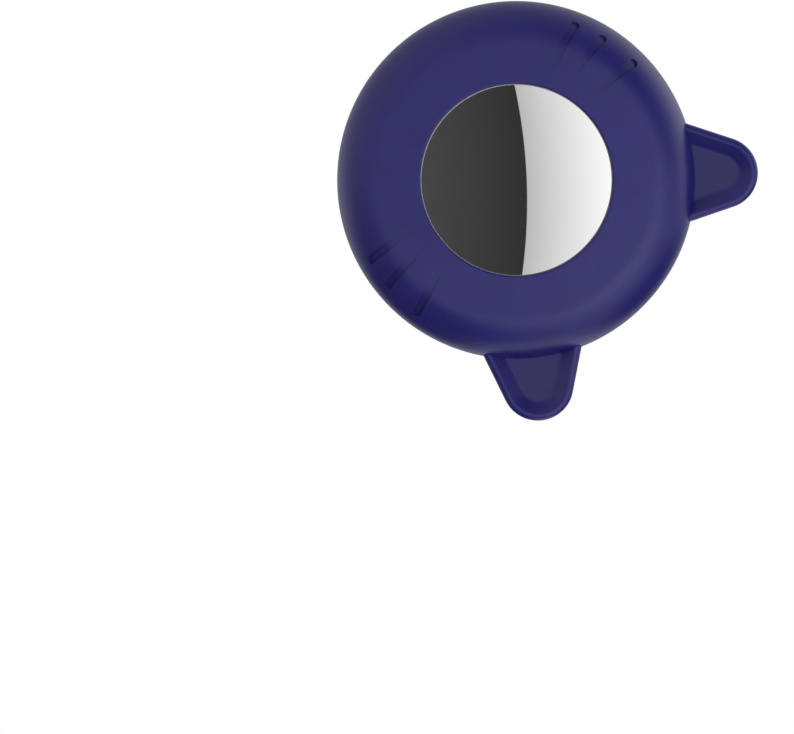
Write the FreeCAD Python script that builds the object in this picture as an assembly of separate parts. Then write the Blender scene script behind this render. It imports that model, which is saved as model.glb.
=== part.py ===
"""Round silicone collar holder with ears, carrying a coin-sized tracker tag.

Lengths are in millimetres and angles in degrees. The part is drawn face up: Z points out of the window,
Y points up between the ears and X runs along the strap. Each finished solid is then stood up, so that
the face looks along -Y and the ears point to +Z. The origin is the centre of the strap tunnel.
"""
import FreeCAD, Part
import math
import os

from FreeCAD import Vector

# Coin cell
cell_diameter = 20.0
cell_height = 3.2
cell_edge_radius = 0.3
cell_wall = 0.6
cell_sheet = 0.25
cell_gasket_wall = 0.5
cell_fit = 0.03
cell_cap_depth = 0.75
cell_cap_step = 0.25
cell_cap_edge_radius = 0.2
cathode_gap = 0.2
cathode_thickness = 1.6
separator_thickness = 0.1
anode_gap = 0.32

# Contacts
contact_space = 0.4
contact_sheet = 0.15
contact_touch_gap = 0.05
contact_leg_width = 0.6
leg_clearance = 0.1
negative_contact_inset = 1.4
negative_contact_length = 9.0
negative_contact_width = 2.4
negative_foot_length = 2.0
negative_contact_bearing = 180.0
positive_contact_angles = (60.0, 120.0)
positive_contact_width = 3.0
positive_contact_height = 2.6
positive_foot_length = 1.1
positive_gap_angle = 24.0

# Battery cover
cell_cover_gap = 0.1
cover_thickness = 0.35
cover_crown_drop = 0.3
cover_edge_radius = 0.2
cover_overhang = 0.55
cover_gap = 0.15
skirt_space = 0.9
skirt_wall = 0.4
tab_thickness = 0.4
tab_clearance = 0.12
tab_angle = 16.0
tab_count = 3
tab_first_bearing = 90.0
tab_stop_angle = 3.0
tab_stop_play_angle = 1.0
cover_twist_angle = 20.0

# Battery tray
tray_wall = 0.7
tray_flange_thickness = 1.0
tray_floor_thickness = 0.35
tray_clearance = 0.1
cell_ring_clearance = 0.35
cell_ring_wall = 0.6
cell_ring_height = 1.9
ledge_clearance = 0.15
ledge_thickness = 0.5
ledge_gap_angle = 19.0
stake_count = 3
stake_radius = 0.5
stake_edge = 1.0
stake_first_bearing = 30.0
stake_head = 0.15
stake_clearance = 0.1

# Sounder
yoke_radius = 4.7
yoke_thickness = 0.4
magnet_radius = 3.6
magnet_thickness = 1.35
coil_gap = 0.3
coil_wall = 0.6
coil_height = 1.2
coil_glue = 0.02

# Circuit board, with each component's length along the rim, width towards the axis and height,
# and its margin to the edge of the board
board_yoke_gap = 0.9
board_edge_gap = 1.45
board_thickness = 0.5
board_dome_clearance = 0.413
bluetooth_chip_size = (3.6, 3.2, 0.5)
bluetooth_chip_margin = 0.8
bluetooth_chip_bearing = 320.0
ranging_module_size = (4.6, 3.2, 0.5)
ranging_module_margin = 0.7
ranging_module_bearing = 205.0
memory_chip_size = (2.4, 2.0, 0.4)
memory_chip_margin = 1.6
memory_chip_bearing = 272.0
motion_sensor_size = (2.0, 2.0, 0.45)
motion_sensor_margin = 1.2
motion_sensor_bearing = 25.0
sound_amplifier_size = (1.7, 1.7, 0.4)
sound_amplifier_margin = 0.95
sound_amplifier_bearing = 75.0
crystal_size = (1.6, 1.2, 0.35)
crystal_margins = (2.0, 2.4)
crystal_bearings = (165.0, 298.0)
passive_size = (0.5, 1.0, 0.35)
passive_inner_margin = 0.3
passive_outer_margin = 1.3
passive_inner_bearings = (50.0, 100.0, 112.0, 124.0, 140.0, 232.0, 244.0)
passive_outer_bearings = (40.0, 48.0, 56.0, 88.0, 96.0, 104.0, 128.0, 136.0, 232.0, 240.0, 288.0)

# Antenna foils on the tray wall, with each one's start and sweep angles
antenna_space = 0.3
antenna_foil = 0.12
antenna_glue = 0.04
antenna_height = 1.6
antenna_rise = 0.4
bluetooth_antenna_angles = (300.0, 50.0)
ranging_antenna_angles = (185.0, 36.0)
nfc_antenna_angles = (20.0, 140.0)

# Tag housing and its seal
housing_wall = 0.9
housing_rim_wall = 1.6
tag_rim_height = 4.9
tag_back_edge_radius = 3.0
tag_rim_step = 0.05
seal_width = 0.4
seal_height = 0.4
seal_clearance = 0.05

# Holder body
pocket_clearance = 0.15
rim_wall = 3.9
back_skin = 1.85
front_skin = 1.25
body_back_half = 5.9
body_back_crown = 0.9
body_front_crown = 0.5
window_overlap = 2.1
window_edge_radius = 0.4
lip_seat_width = 0.5

# Ears
ear_axis_angle = 43.0
ear_tip_overhang = 3.0
ear_tip_radius = 4.0
ear_inner_taper_angle = 16.9
ear_outer_taper_angle = 20.2
ear_thickness = 3.0
ear_edge_radius = 0.6
ear_rim_width = 0.75
ear_slope_width = 1.3
ear_recess_depth = 0.8

# Whisker grooves on the right cheek, from the lowest to the highest
whisker_width = 1.0
whisker_length = 5.6
whisker_inset = 1.7
whisker_depth = 0.4
whisker_middle_depth = 0.07
whisker_runout = 0.05
whisker_bearings = (-20.4, -9.8, 3.9)
whisker_tilt_angles = (-10.0, 1.0, 13.0)

# Strap bridge
strap_tunnel_gap = 4.4
strap_tunnel_width = 15.1
bridge_post = 2.85
bridge_base_width = 12.3
bridge_end_draft = 0.9
bridge_side_draft = 0.3
bridge_plate = 1.8
bridge_root = 1.2
bridge_corner_radius = 0.6
bridge_top_edge_radius = 0.5
tunnel_corner_radius = 0.8

# Cuts that run past a face, and the tolerance for picking edges
overrun = 2.0
pick_tolerance = 0.001

# Distances from the axis, worked outwards from the cell
cell_radius = cell_diameter / 2
cell_bore_radius = cell_radius - cell_wall
cell_cap_radius = cell_bore_radius - cell_gasket_wall
cathode_radius = cell_bore_radius - cathode_gap
anode_radius = cell_cap_radius - cell_fit - cell_sheet - anode_gap
negative_contact_reach = cell_cap_radius - negative_contact_inset
cell_ring_radius = cell_radius + cell_ring_clearance
skirt_inner_radius = cell_ring_radius + cell_ring_wall + skirt_space
skirt_outer_radius = skirt_inner_radius + skirt_wall
cover_radius = skirt_outer_radius + cover_overhang
ledge_inner_radius = skirt_outer_radius + ledge_clearance
tray_bore_radius = cover_radius + cover_gap
tray_wall_radius = tray_bore_radius + tray_wall
housing_bore_radius = tray_wall_radius + antenna_space
housing_mouth_radius = housing_bore_radius + seal_width
flange_radius = housing_mouth_radius - tray_clearance
tag_radius = housing_mouth_radius + housing_rim_wall
pocket_radius = tag_radius + pocket_clearance
lip_radius = pocket_radius + lip_seat_width
body_radius = pocket_radius + rim_wall
window_radius = cover_radius - window_overlap
board_inner_radius = yoke_radius + board_yoke_gap
board_outer_radius = tray_wall_radius - board_edge_gap
stake_circle_radius = board_outer_radius - stake_edge

AXIS = Vector(0, 0, 1)
ACROSS = Vector(1, 0, 0)
ORIGIN = Vector(0, 0, 0)


class Crown:
    """A round crown: a shallow dome round the axis that turns through an edge round to its widest ring."""

    def __init__(self, radius, height, edge, apex, up):
        self.radius = radius
        self.edge = edge
        self.apex = apex
        self.up = up
        self.widest = apex - up * height
        self.dome = ((radius - edge) ** 2 + height ** 2 - edge ** 2) / (2 * (height - edge))
        self.dome_centre = apex - up * self.dome
        self.turn = math.asin((radius - edge) / (self.dome - edge))

    def on_dome(self, angle):
        rise = self.up * self.dome * math.cos(angle)
        return Vector(self.dome * math.sin(angle), 0, self.dome_centre + rise)

    def on_edge(self, angle):
        across = self.radius - self.edge + self.edge * math.sin(angle)
        return Vector(across, 0, self.widest + self.up * self.edge * math.cos(angle))

    def edges(self):
        """The two arcs of the outline, from the apex to the widest ring."""
        quarter = math.pi / 2
        dome = Part.Arc(self.on_dome(0), self.on_dome(self.turn / 2), self.on_dome(self.turn))
        middle = (self.turn + quarter) / 2
        edge = Part.Arc(self.on_edge(self.turn), self.on_edge(middle), self.on_edge(quarter))
        return [dome.toShape(), edge.toShape()]

    def level(self, distance):
        """The height of the surface at a distance from the axis."""
        if distance <= self.dome * math.sin(self.turn):
            return self.dome_centre + self.up * math.sqrt(self.dome ** 2 - distance ** 2)
        run = distance - (self.radius - self.edge)
        return self.widest + self.up * math.sqrt(self.edge ** 2 - run ** 2)


# Levels along the axis, worked out from the strap tunnel to the window
body_back = strap_tunnel_gap / 2
equator = body_back + body_back_half
plate_inside = -strap_tunnel_gap / 2
plate_outside = plate_inside - bridge_plate
tag_back = body_back + back_skin + pocket_clearance
tag_rim = tag_back + tag_rim_height


def tag_back_crown(grow):
    """The tag's domed back, grown outwards by a clearance or, if negative, inwards by a wall."""
    return Crown(tag_radius + grow, tag_rim_height + grow, tag_back_edge_radius + grow, tag_back - grow, -1)


board_under = tag_back_crown(-housing_wall).level(board_outer_radius) + board_dome_clearance
tray_floor_under = board_under + board_thickness
tray_floor_top = tray_floor_under + tray_floor_thickness
yoke_under = tray_floor_under - yoke_thickness
magnet_under = yoke_under - magnet_thickness
cell_bottom = tray_floor_top + contact_space
cell_top = cell_bottom + cell_height
cathode_top = cell_top - cell_sheet
cathode_under = cathode_top - cathode_thickness
separator_under = cathode_under - separator_thickness
cover_crown = (cover_radius ** 2 + cover_crown_drop ** 2) / (2 * cover_crown_drop)
cover_sag_at_cell = cover_crown - math.sqrt(cover_crown ** 2 - cell_radius ** 2)
tag_front = cell_top + cell_cover_gap + cover_thickness + cover_sag_at_cell
tag_front_flat = tag_front - cover_crown_drop - tag_rim_step
tag_front_edge_radius = tag_front_flat - tag_rim
flange_under = tag_front_flat - tray_flange_thickness
seal_seat = flange_under - seal_height
ledge_top = tag_front - cover_crown_drop - cover_thickness - tab_clearance
ledge_under = ledge_top - ledge_thickness
tab_top = ledge_under - tab_clearance
tab_under = tab_top - tab_thickness
body_front = tag_front + pocket_clearance + front_skin
body_front_half = body_front - equator

holder_front = Crown(body_radius, body_front_half, body_front_half - body_front_crown, body_front, 1)
holder_back = Crown(body_radius, body_back_half, body_back_half - body_back_crown, body_back, -1)


def line(start, end):
    return Part.LineSegment(start, end).toShape()


def at(distance, level):
    """A point of an outline that is spun about the axis."""
    return Vector(distance, 0, level)


def spun(edges):
    """The solid that a closed outline of edges sweeps about the axis."""
    face = Part.Face(Part.Wire(Part.__sortEdges__(edges)))
    return face.revolve(ORIGIN, AXIS, 360)


def ring(inner, outer, bottom, top):
    solid = Part.makeCylinder(outer, top - bottom, at(0, bottom))
    if inner == 0:
        return solid
    return solid.cut(Part.makeCylinder(inner, top - bottom, at(0, bottom)))


def sector(inner, outer, bottom, top, start, sweep):
    """Part of a ring, from a start bearing through a sweep."""
    corners = [at(inner, bottom), at(outer, bottom), at(outer, top), at(inner, top)]
    face = Part.Face(Part.makePolygon(corners + corners[:1]))
    solid = face.revolve(ORIGIN, AXIS, sweep)
    solid.rotate(ORIGIN, AXIS, start)
    return solid


def block(length, width, bottom, top):
    """A box centred on the axis."""
    return Part.makeBox(length, width, top - bottom, Vector(-length / 2, -width / 2, bottom))


def rounded(solid, radius, wanted):
    """The solid with a round on each edge that the test picks."""
    return solid.makeFillet(radius, [edge for edge in solid.Edges if wanted(edge)])


def is_level(edge, level):
    """Whether an edge lies in the plane at a level."""
    box = edge.BoundBox
    return max(abs(box.ZMin - level), abs(box.ZMax - level)) < pick_tolerance


def is_circle(edge, radius, level):
    """Whether an edge is a ring of a radius at a level."""
    box = edge.BoundBox
    return is_level(edge, level) and abs(box.XMax - radius) < pick_tolerance


def turned(solid, bearing):
    solid.rotate(ORIGIN, AXIS, bearing)
    return solid


def tag_front_arc(start, end, grow):
    """The tag's front edge round between two distances from the axis, grown by a clearance."""
    centre = tag_radius - tag_front_edge_radius
    radius = tag_front_edge_radius + grow

    def point(distance):
        run = min(distance - centre, radius)
        return at(distance, tag_rim + math.sqrt(radius ** 2 - run ** 2))

    return Part.Arc(point(start), point((start + end) / 2), point(end)).toShape()


def cover_level(distance):
    """The height of the steel cover's crowned face."""
    return tag_front - cover_crown + math.sqrt(cover_crown ** 2 - distance ** 2)


def holder_blank():
    """The plain round body, without ears, grooves, bridge or pocket."""
    axis_line = line(at(0, body_back), at(0, body_front))
    return spun(holder_front.edges() + holder_back.edges() + [axis_line])


def ear_outline(inset, level):
    """An ear's outline about +Y: a round tip with straight sides that widen down to the root."""
    tip = ear_tip_radius - inset
    centre = Vector(0, body_radius + ear_tip_overhang, level)
    root = (lip_radius + body_radius) / 2

    def side(sign, taper):
        angle = math.radians(taper)
        touch = centre + Vector(sign * tip * math.cos(angle), tip * math.sin(angle), 0)
        drop = touch.y - root
        return touch, touch + Vector(sign * drop * math.tan(angle), -drop, 0)

    inner_touch, inner_foot = side(-1, ear_inner_taper_angle)
    outer_touch, outer_foot = side(1, ear_outer_taper_angle)
    arc = Part.Arc(inner_touch, centre + Vector(0, tip, 0), outer_touch).toShape()
    sides = [line(inner_foot, inner_touch), arc, line(outer_touch, outer_foot)]
    return Part.Wire(sides + [line(outer_foot, inner_foot)])


def ear():
    """The right ear: a rounded plate with a sloped recess in its front."""
    back = equator - ear_thickness / 2
    front = equator + ear_thickness / 2
    plate = Part.Face(ear_outline(0, back)).extrude(AXIS * ear_thickness)

    def is_rim(edge):
        box = edge.BoundBox
        return box.ZLength < pick_tolerance < box.YLength

    plate = rounded(plate, ear_edge_radius, is_rim)
    floor = ear_outline(ear_rim_width + ear_slope_width, front - ear_recess_depth)
    recess = Part.makeLoft([floor, ear_outline(ear_rim_width, front)], True, True)
    return turned(plate.cut(recess), -ear_axis_angle)


def whisker(place, tilt):
    """What a groove takes out of the cheek: it runs in from the front and ends deep and round."""
    bearing = math.radians(place)
    slant = math.radians(tilt)
    reach = body_radius - whisker_inset
    outer = Vector(reach * math.cos(bearing), reach * math.sin(bearing), 0)
    run = Vector(whisker_length * math.cos(slant), whisker_length * math.sin(slant), 0)

    def seated(point, depth):
        return point + AXIS * (holder_front.level(point.Length) - depth)

    start = seated(outer - run, -whisker_runout)
    middle = seated(outer - run / 2, whisker_middle_depth)
    end = seated(outer, whisker_depth)
    floor = Part.Arc(start, middle, end).toShape()
    centre = floor.Curve.Center
    sweep = math.degrees(floor.LastParameter - floor.FirstParameter)
    aside = floor.Curve.Axis * (whisker_width / 2)
    rise = (start - centre).normalize() * (whisker_depth + overrun)
    corners = [start - aside, start + aside, start + aside + rise, start - aside + rise]
    section = Part.Face(Part.makePolygon(corners + corners[:1]))
    bar = section.revolve(centre, floor.Curve.Axis, sweep)
    return bar.fuse(Part.makeCylinder(whisker_width / 2, rise.Length, end, end - centre))


def strap_bridge():
    """The drafted block behind the body, with the strap tunnel through it along X."""
    root = body_back + bridge_root
    rise = body_back - plate_outside

    def section(level):
        spread = (level - plate_outside) / rise
        half_width = bridge_base_width / 2 - (1 - spread) * bridge_side_draft
        half_length = strap_tunnel_width / 2 + bridge_post - (1 - spread) * bridge_end_draft
        signs = ((-1, -1), (1, -1), (1, 1), (-1, 1), (-1, -1))
        return Part.makePolygon([Vector(x * half_width, y * half_length, level) for x, y in signs])

    solid = Part.makeLoft([section(plate_outside), section(root)], True, True)
    solid = rounded(solid, bridge_corner_radius, lambda edge: edge.BoundBox.ZLength > rise)
    solid = rounded(solid, bridge_top_edge_radius, lambda edge: is_level(edge, plate_outside))
    tunnel = block(bridge_base_width + 2 * overrun, strap_tunnel_width, plate_inside, root + overrun)

    def is_tunnel_corner(edge):
        return is_level(edge, plate_inside) and edge.BoundBox.XLength > bridge_base_width

    return solid.cut(rounded(tunnel, tunnel_corner_radius, is_tunnel_corner))


def mirrored(solid):
    return solid.mirror(ORIGIN, ACROSS)


def holder_moulding():
    """The whole moulding before the pocket and the window are taken out of it."""
    grooves = [whisker(*pair) for pair in zip(whisker_bearings, whisker_tilt_angles)]
    blank = holder_blank().fuse([ear(), mirrored(ear()), strap_bridge()])
    return blank.cut(grooves + [mirrored(groove) for groove in grooves])


def holder_shell(moulding):
    """The moulding less the tag's pocket and the lip in front of it."""
    crown = tag_back_crown(pocket_clearance)
    top = body_front + overrun
    corners = [at(pocket_radius, tag_rim), at(lip_radius, tag_rim), at(lip_radius, top), at(0, top)]
    corners.append(at(0, crown.apex))
    pocket = spun(crown.edges() + [line(*pair) for pair in zip(corners, corners[1:])])
    return moulding.cut(pocket)


def holder_lip(moulding):
    """The front lip, from the window out to the pocket's wall, closed over the tag's front edge."""
    top = body_front + overrun
    flat_radius = tag_radius - tag_front_edge_radius
    corners = [at(pocket_radius, tag_rim), at(lip_radius, tag_rim), at(lip_radius, top)]
    corners += [at(window_radius, top), at(window_radius, cover_level(window_radius) + pocket_clearance)]
    corners += [at(cover_radius, cover_level(cover_radius) + pocket_clearance)]
    corners.append(at(flat_radius, tag_front_flat + pocket_clearance))
    outline = [line(*pair) for pair in zip(corners, corners[1:])]
    outline.append(tag_front_arc(flat_radius, pocket_radius, pocket_clearance))
    lip = moulding.common(spun(outline))
    window_top = holder_front.level(window_radius)
    return rounded(lip, window_edge_radius, lambda edge: is_circle(edge, window_radius, window_top))


def tag_housing():
    """The domed cup that the tag is built into, with a stepped mouth for the tray's flange."""
    flat_radius = tag_radius - tag_front_edge_radius
    outer = tag_back_crown(0)
    outline = outer.edges() + [tag_front_arc(tag_radius, flat_radius, 0)]
    outline += [line(at(flat_radius, tag_front_flat), at(0, tag_front_flat))]
    outline += [line(at(0, tag_front_flat), at(0, outer.apex))]
    inner = tag_back_crown(-housing_wall)
    top = tag_front + overrun
    corners = [at(inner.radius, inner.widest), at(inner.radius, top), at(0, top), at(0, inner.apex)]
    hollow = spun(inner.edges() + [line(*pair) for pair in zip(corners, corners[1:])])
    bore = hollow.common(ring(0, housing_bore_radius, tag_back, top))
    return spun(outline).cut([bore, ring(0, housing_mouth_radius, seal_seat, top)])


def battery_tray():
    """The inner frame: flange, wall, floor, cell ring, bayonet ledges and the stakes for the board."""
    flat_radius = tag_radius - tag_front_edge_radius
    arc = tag_front_arc(flange_radius, flat_radius, 0)
    flange_top = arc.Vertexes[0].Point
    corners = [at(flat_radius, tag_front_flat), at(tray_bore_radius, tag_front_flat)]
    corners += [at(tray_bore_radius, flange_under), at(flange_radius, flange_under), flange_top]
    pieces = [spun([arc] + [line(*pair) for pair in zip(corners, corners[1:])])]
    pieces.append(ring(tray_bore_radius, tray_wall_radius, tray_floor_under, flange_under))
    cell_ring = ring(cell_ring_radius, cell_ring_radius + cell_ring_wall, tray_floor_top,
                     tray_floor_top + cell_ring_height)
    for bearing in positive_contact_angles:
        gap = sector(cell_radius, tray_bore_radius, tray_floor_top, cell_top,
                     bearing - positive_gap_angle / 2, positive_gap_angle)
        cell_ring = cell_ring.cut(gap)
    pieces.append(cell_ring)
    pitch = 360 / tab_count
    for index in range(tab_count):
        entry = tab_first_bearing + cover_twist_angle + index * pitch
        pieces.append(sector(ledge_inner_radius, tray_bore_radius, ledge_under, ledge_top,
                             entry + ledge_gap_angle / 2, pitch - ledge_gap_angle))
        lock = tab_first_bearing + index * pitch - tab_angle / 2 - tab_stop_play_angle - tab_stop_angle
        pieces.append(sector(ledge_inner_radius, tray_bore_radius, tab_under, ledge_under,
                             lock, tab_stop_angle))
    for bearing in stake_bearings():
        stake = Part.makeCylinder(stake_radius, tray_floor_under - board_under + stake_head,
                                  at(stake_circle_radius, board_under - stake_head))
        pieces.append(turned(stake, bearing))
    floor = ring(0, tray_wall_radius, tray_floor_under, tray_floor_top)
    tray = floor.fuse(pieces)
    slots = [turned(contact_leg(positive_leg_distance(), leg_clearance), bearing)
             for bearing in positive_contact_angles]
    slots.append(turned(contact_leg(negative_leg_distance(), leg_clearance), negative_contact_bearing))
    return tray.cut(slots)


def stake_bearings():
    pitch = 360 / stake_count
    return [stake_first_bearing + index * pitch for index in range(stake_count)]


def positive_leg_distance():
    return cell_radius + contact_touch_gap + positive_foot_length - contact_leg_width / 2


def negative_leg_distance():
    return negative_contact_reach - negative_foot_length / 2


def contact_leg(distance, clearance):
    """The leg of a contact, from its foot through the tray's floor to the board."""
    side = contact_leg_width + 2 * clearance
    leg = block(side, side, tray_floor_under, tray_floor_top)
    leg.translate(ACROSS * distance)
    return leg


def positive_contacts():
    """Two bent leaves that press on the side of the cell."""
    near = cell_radius + contact_touch_gap
    corner = Vector(near, -positive_contact_width / 2, tray_floor_top)
    foot = Part.makeBox(positive_foot_length, positive_contact_width, contact_sheet, corner)
    leaf = Part.makeBox(contact_sheet, positive_contact_width, positive_contact_height, corner)
    leaf = leaf.fuse([foot, contact_leg(positive_leg_distance(), 0)]).removeSplitter()
    return Part.makeCompound([turned(leaf.copy(), bearing) for bearing in positive_contact_angles])


def negative_contact():
    """A sprung leaf under the cell: a foot on the floor, a ramp and a crest that meets the cap."""
    foot_start = negative_contact_reach
    foot_end = foot_start - negative_foot_length
    tip = foot_start - negative_contact_length
    crest = tip + negative_foot_length
    raised = cell_bottom - contact_touch_gap - contact_sheet
    path = [(foot_start, tray_floor_top), (foot_end, tray_floor_top), (crest, raised)]
    path.append((tip, (tray_floor_top + raised) / 2))
    under = [at(x, z) for x, z in path]
    over = [point + AXIS * contact_sheet for point in reversed(under)]
    face = Part.Face(Part.makePolygon(under + over + under[:1]))
    face.translate(Vector(0, -negative_contact_width / 2, 0))
    leaf = face.extrude(Vector(0, negative_contact_width, 0))
    leaf = leaf.fuse(contact_leg(negative_leg_distance(), 0)).removeSplitter()
    return turned(leaf, negative_contact_bearing)


def battery_cover():
    """The crowned steel cover, with a skirt that carries three bayonet tabs."""
    rim = at(cover_radius, cover_level(cover_radius))
    inner_rim = rim - AXIS * cover_thickness
    face_arc = Part.Arc(at(0, tag_front), at(cover_radius / 2, cover_level(cover_radius / 2)), rim).toShape()
    back_arc = face_arc.copy()
    back_arc.translate(-AXIS * cover_thickness)
    axis_line = line(at(0, tag_front), at(0, tag_front - cover_thickness))
    disc = spun([face_arc, line(rim, inner_rim), back_arc, axis_line])
    disc = rounded(disc, cover_edge_radius, lambda edge: is_circle(edge, cover_radius, rim.z))
    skirt_top = rim.z - cover_thickness / 2
    pieces = [ring(skirt_inner_radius, skirt_outer_radius, tab_under, skirt_top)]
    for index in range(tab_count):
        start = tab_first_bearing - tab_angle / 2 + index * 360 / tab_count
        pieces.append(sector(skirt_inner_radius, cover_radius, tab_under, tab_top, start, tab_angle))
    return disc.fuse(pieces).removeSplitter()


def cell_can():
    """The cell's can, open at the back for the gasket and the cap."""
    bottom = cell_bottom + cell_cap_step
    can = ring(0, cell_radius, bottom, cell_top)
    can = rounded(can, cell_edge_radius, lambda edge: edge.BoundBox.ZLength < pick_tolerance)
    return can.cut(ring(0, cell_bore_radius, bottom, cathode_top))


def cell_cap():
    """The dished cap that closes the back of the cell."""
    outer = cell_cap_radius - cell_fit
    rim = cell_bottom + cell_cap_depth
    cap = ring(0, outer, cell_bottom, rim)
    cap = rounded(cap, cell_cap_edge_radius, lambda edge: is_level(edge, cell_bottom))
    return cap.cut(ring(0, outer - cell_sheet, cell_bottom + cell_sheet, rim))


def cell_gasket():
    return ring(cell_cap_radius, cell_bore_radius - cell_fit, cell_bottom + cell_cap_step,
                cell_bottom + cell_cap_depth)


def logic_board():
    """The ring-shaped board, held to the tray's floor by the stakes through its holes."""
    board = ring(board_inner_radius, board_outer_radius, board_under, tray_floor_under)
    hole = Part.makeCylinder(stake_radius + stake_clearance, board_thickness,
                             at(stake_circle_radius, board_under))
    return board.cut([turned(hole.copy(), bearing) for bearing in stake_bearings()])


def on_board(size, margin, bearing):
    """A component on the back of the board, at a margin from the board's inner edge."""
    along, inward, height = size
    body = block(inward, along, board_under - height, board_under)
    body.translate(ACROSS * (board_inner_radius + margin + inward / 2))
    return turned(body, bearing)


def board_crystals():
    places = zip(crystal_margins, crystal_bearings)
    return Part.makeCompound([on_board(crystal_size, *place) for place in places])


def board_passives():
    """Small parts in two rows, along the inner and the outer edge of the board."""
    board_width = board_outer_radius - board_inner_radius
    outer_row = board_width - passive_outer_margin - passive_size[1]
    parts = [on_board(passive_size, passive_inner_margin, bearing) for bearing in passive_inner_bearings]
    parts += [on_board(passive_size, outer_row, bearing) for bearing in passive_outer_bearings]
    return Part.makeCompound(parts)


def antenna(angles):
    """A foil strip glued round the outside of the tray's wall."""
    inner = tray_wall_radius + antenna_glue
    bottom = tray_floor_top + antenna_rise
    return sector(inner, inner + antenna_foil, bottom, bottom + antenna_height, *angles)


def flange_seal():
    return ring(housing_bore_radius + seal_clearance, housing_mouth_radius - seal_clearance,
                seal_seat, flange_under)


def voice_coil():
    """The coil on the inside of the dome, round the magnet."""
    inner = magnet_radius + coil_gap
    outer = inner + coil_wall
    bottom = tag_back_crown(-housing_wall).level(outer) + coil_glue
    return ring(inner, outer, bottom, bottom + coil_height)


def main():
    moulding = holder_moulding()
    nodes = {
        "holder_shell": holder_shell(moulding),
        "holder_lip": holder_lip(moulding),
        "tag_housing": tag_housing(),
        "battery_tray": battery_tray(),
        "flange_seal": flange_seal(),
        "battery_cover": battery_cover(),
        "cell_can": cell_can(),
        "cell_cap": cell_cap(),
        "cell_gasket": cell_gasket(),
        "cell_cathode": ring(0, cathode_radius, cathode_under, cathode_top),
        "cell_separator": ring(0, cathode_radius, separator_under, cathode_under),
        "cell_anode": ring(0, anode_radius, cell_bottom + cell_sheet, separator_under),
        "positive_contacts": positive_contacts(),
        "negative_contact": negative_contact(),
        "logic_board": logic_board(),
        "bluetooth_chip": on_board(bluetooth_chip_size, bluetooth_chip_margin, bluetooth_chip_bearing),
        "ranging_module": on_board(ranging_module_size, ranging_module_margin, ranging_module_bearing),
        "memory_chip": on_board(memory_chip_size, memory_chip_margin, memory_chip_bearing),
        "motion_sensor": on_board(motion_sensor_size, motion_sensor_margin, motion_sensor_bearing),
        "sound_amplifier": on_board(sound_amplifier_size, sound_amplifier_margin,
                                    sound_amplifier_bearing),
        "board_crystals": board_crystals(),
        "board_passives": board_passives(),
        "bluetooth_antenna": antenna(bluetooth_antenna_angles),
        "ranging_antenna": antenna(ranging_antenna_angles),
        "nfc_antenna": antenna(nfc_antenna_angles),
        "speaker_yoke": ring(0, yoke_radius, yoke_under, tray_floor_under),
        "speaker_magnet": ring(0, magnet_radius, magnet_under, yoke_under),
        "voice_coil": voice_coil(),
    }
    os.makedirs("parts", exist_ok=True)
    for name, shape in nodes.items():
        shape.rotate(ORIGIN, ACROSS, 90)
        shape.exportStep("parts/" + name + ".step")


main()
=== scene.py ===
"""Looks of the tracker tag holder: the silicone moulding, the finish of every piece, and the stage."""
import math

import bmesh
import bpy
from mathutils import Matrix, Vector


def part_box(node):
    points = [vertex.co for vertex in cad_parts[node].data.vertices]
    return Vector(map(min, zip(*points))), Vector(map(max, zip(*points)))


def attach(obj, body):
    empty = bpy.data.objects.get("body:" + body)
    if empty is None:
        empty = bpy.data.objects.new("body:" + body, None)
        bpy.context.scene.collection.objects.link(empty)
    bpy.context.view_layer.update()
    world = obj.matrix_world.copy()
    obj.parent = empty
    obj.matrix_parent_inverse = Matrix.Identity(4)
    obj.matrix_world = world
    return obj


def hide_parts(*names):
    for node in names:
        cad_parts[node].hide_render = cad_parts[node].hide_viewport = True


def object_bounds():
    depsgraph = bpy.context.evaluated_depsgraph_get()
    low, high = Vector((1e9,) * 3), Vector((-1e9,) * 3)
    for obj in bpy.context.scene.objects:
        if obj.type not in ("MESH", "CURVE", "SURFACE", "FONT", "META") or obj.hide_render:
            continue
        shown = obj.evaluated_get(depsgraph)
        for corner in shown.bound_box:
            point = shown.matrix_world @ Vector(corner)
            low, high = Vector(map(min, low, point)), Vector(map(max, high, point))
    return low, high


bl_info = {
    "name": "Tracker Tag Holder",
    "version": (1, 0, 0),
    "blender": (4, 5, 0),
    "location": "View3D > Sidebar > Tag Holder",
    "description": "Dresses a silicone tag holder and the tag that it carries",
    "category": "Object",
}

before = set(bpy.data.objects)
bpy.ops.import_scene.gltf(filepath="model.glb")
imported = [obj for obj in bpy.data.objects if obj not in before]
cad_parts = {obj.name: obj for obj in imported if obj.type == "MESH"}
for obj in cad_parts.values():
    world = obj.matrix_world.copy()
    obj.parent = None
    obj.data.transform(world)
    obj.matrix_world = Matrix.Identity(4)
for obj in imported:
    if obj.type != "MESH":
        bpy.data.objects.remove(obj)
cad_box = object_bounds()

MM = 0.001
HOLDER_NODES = ("holder_shell", "holder_lip")
# Pieces are modelled with their front upwards and then stood up
STAND_UP = Matrix.Rotation(math.radians(90), 4, "X")
# The number that the moulding's mesh carries for its grooves, which sets where they get painted shade
DEPTHS = "depth_under_crown"

# How finely the curves are drawn
SPIN_STEPS = 256
BACK_STEPS = 22
FRONT_STEPS = 12
EDGE_STEPS = 26
POCKET_STEPS = 14
POCKET_EDGE_STEPS = 10
ROUND_STEPS = 8
CORNER_STEPS = 6
EAR_TIP_STEPS = 36
EAR_SIDE_STEPS = 10
GROOVE_STEPS = 28
GROOVE_END_STEPS = 12
GROOVE_FLOOR_STEPS = 4
FACE_STEPS = 24
UNDER_STEPS = 8
TAB_STEPS = 8
MOUTH_STEPS = 2
FLOOR_STEPS = 96

# Angles in degrees: edges that stay sharp, and the window's round from its wall to the front
SILICONE_CREASE = 32
STEEL_CREASE = 25
MOUTH_CREASE = 50
WINDOW_TURN = (180, 95)

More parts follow.
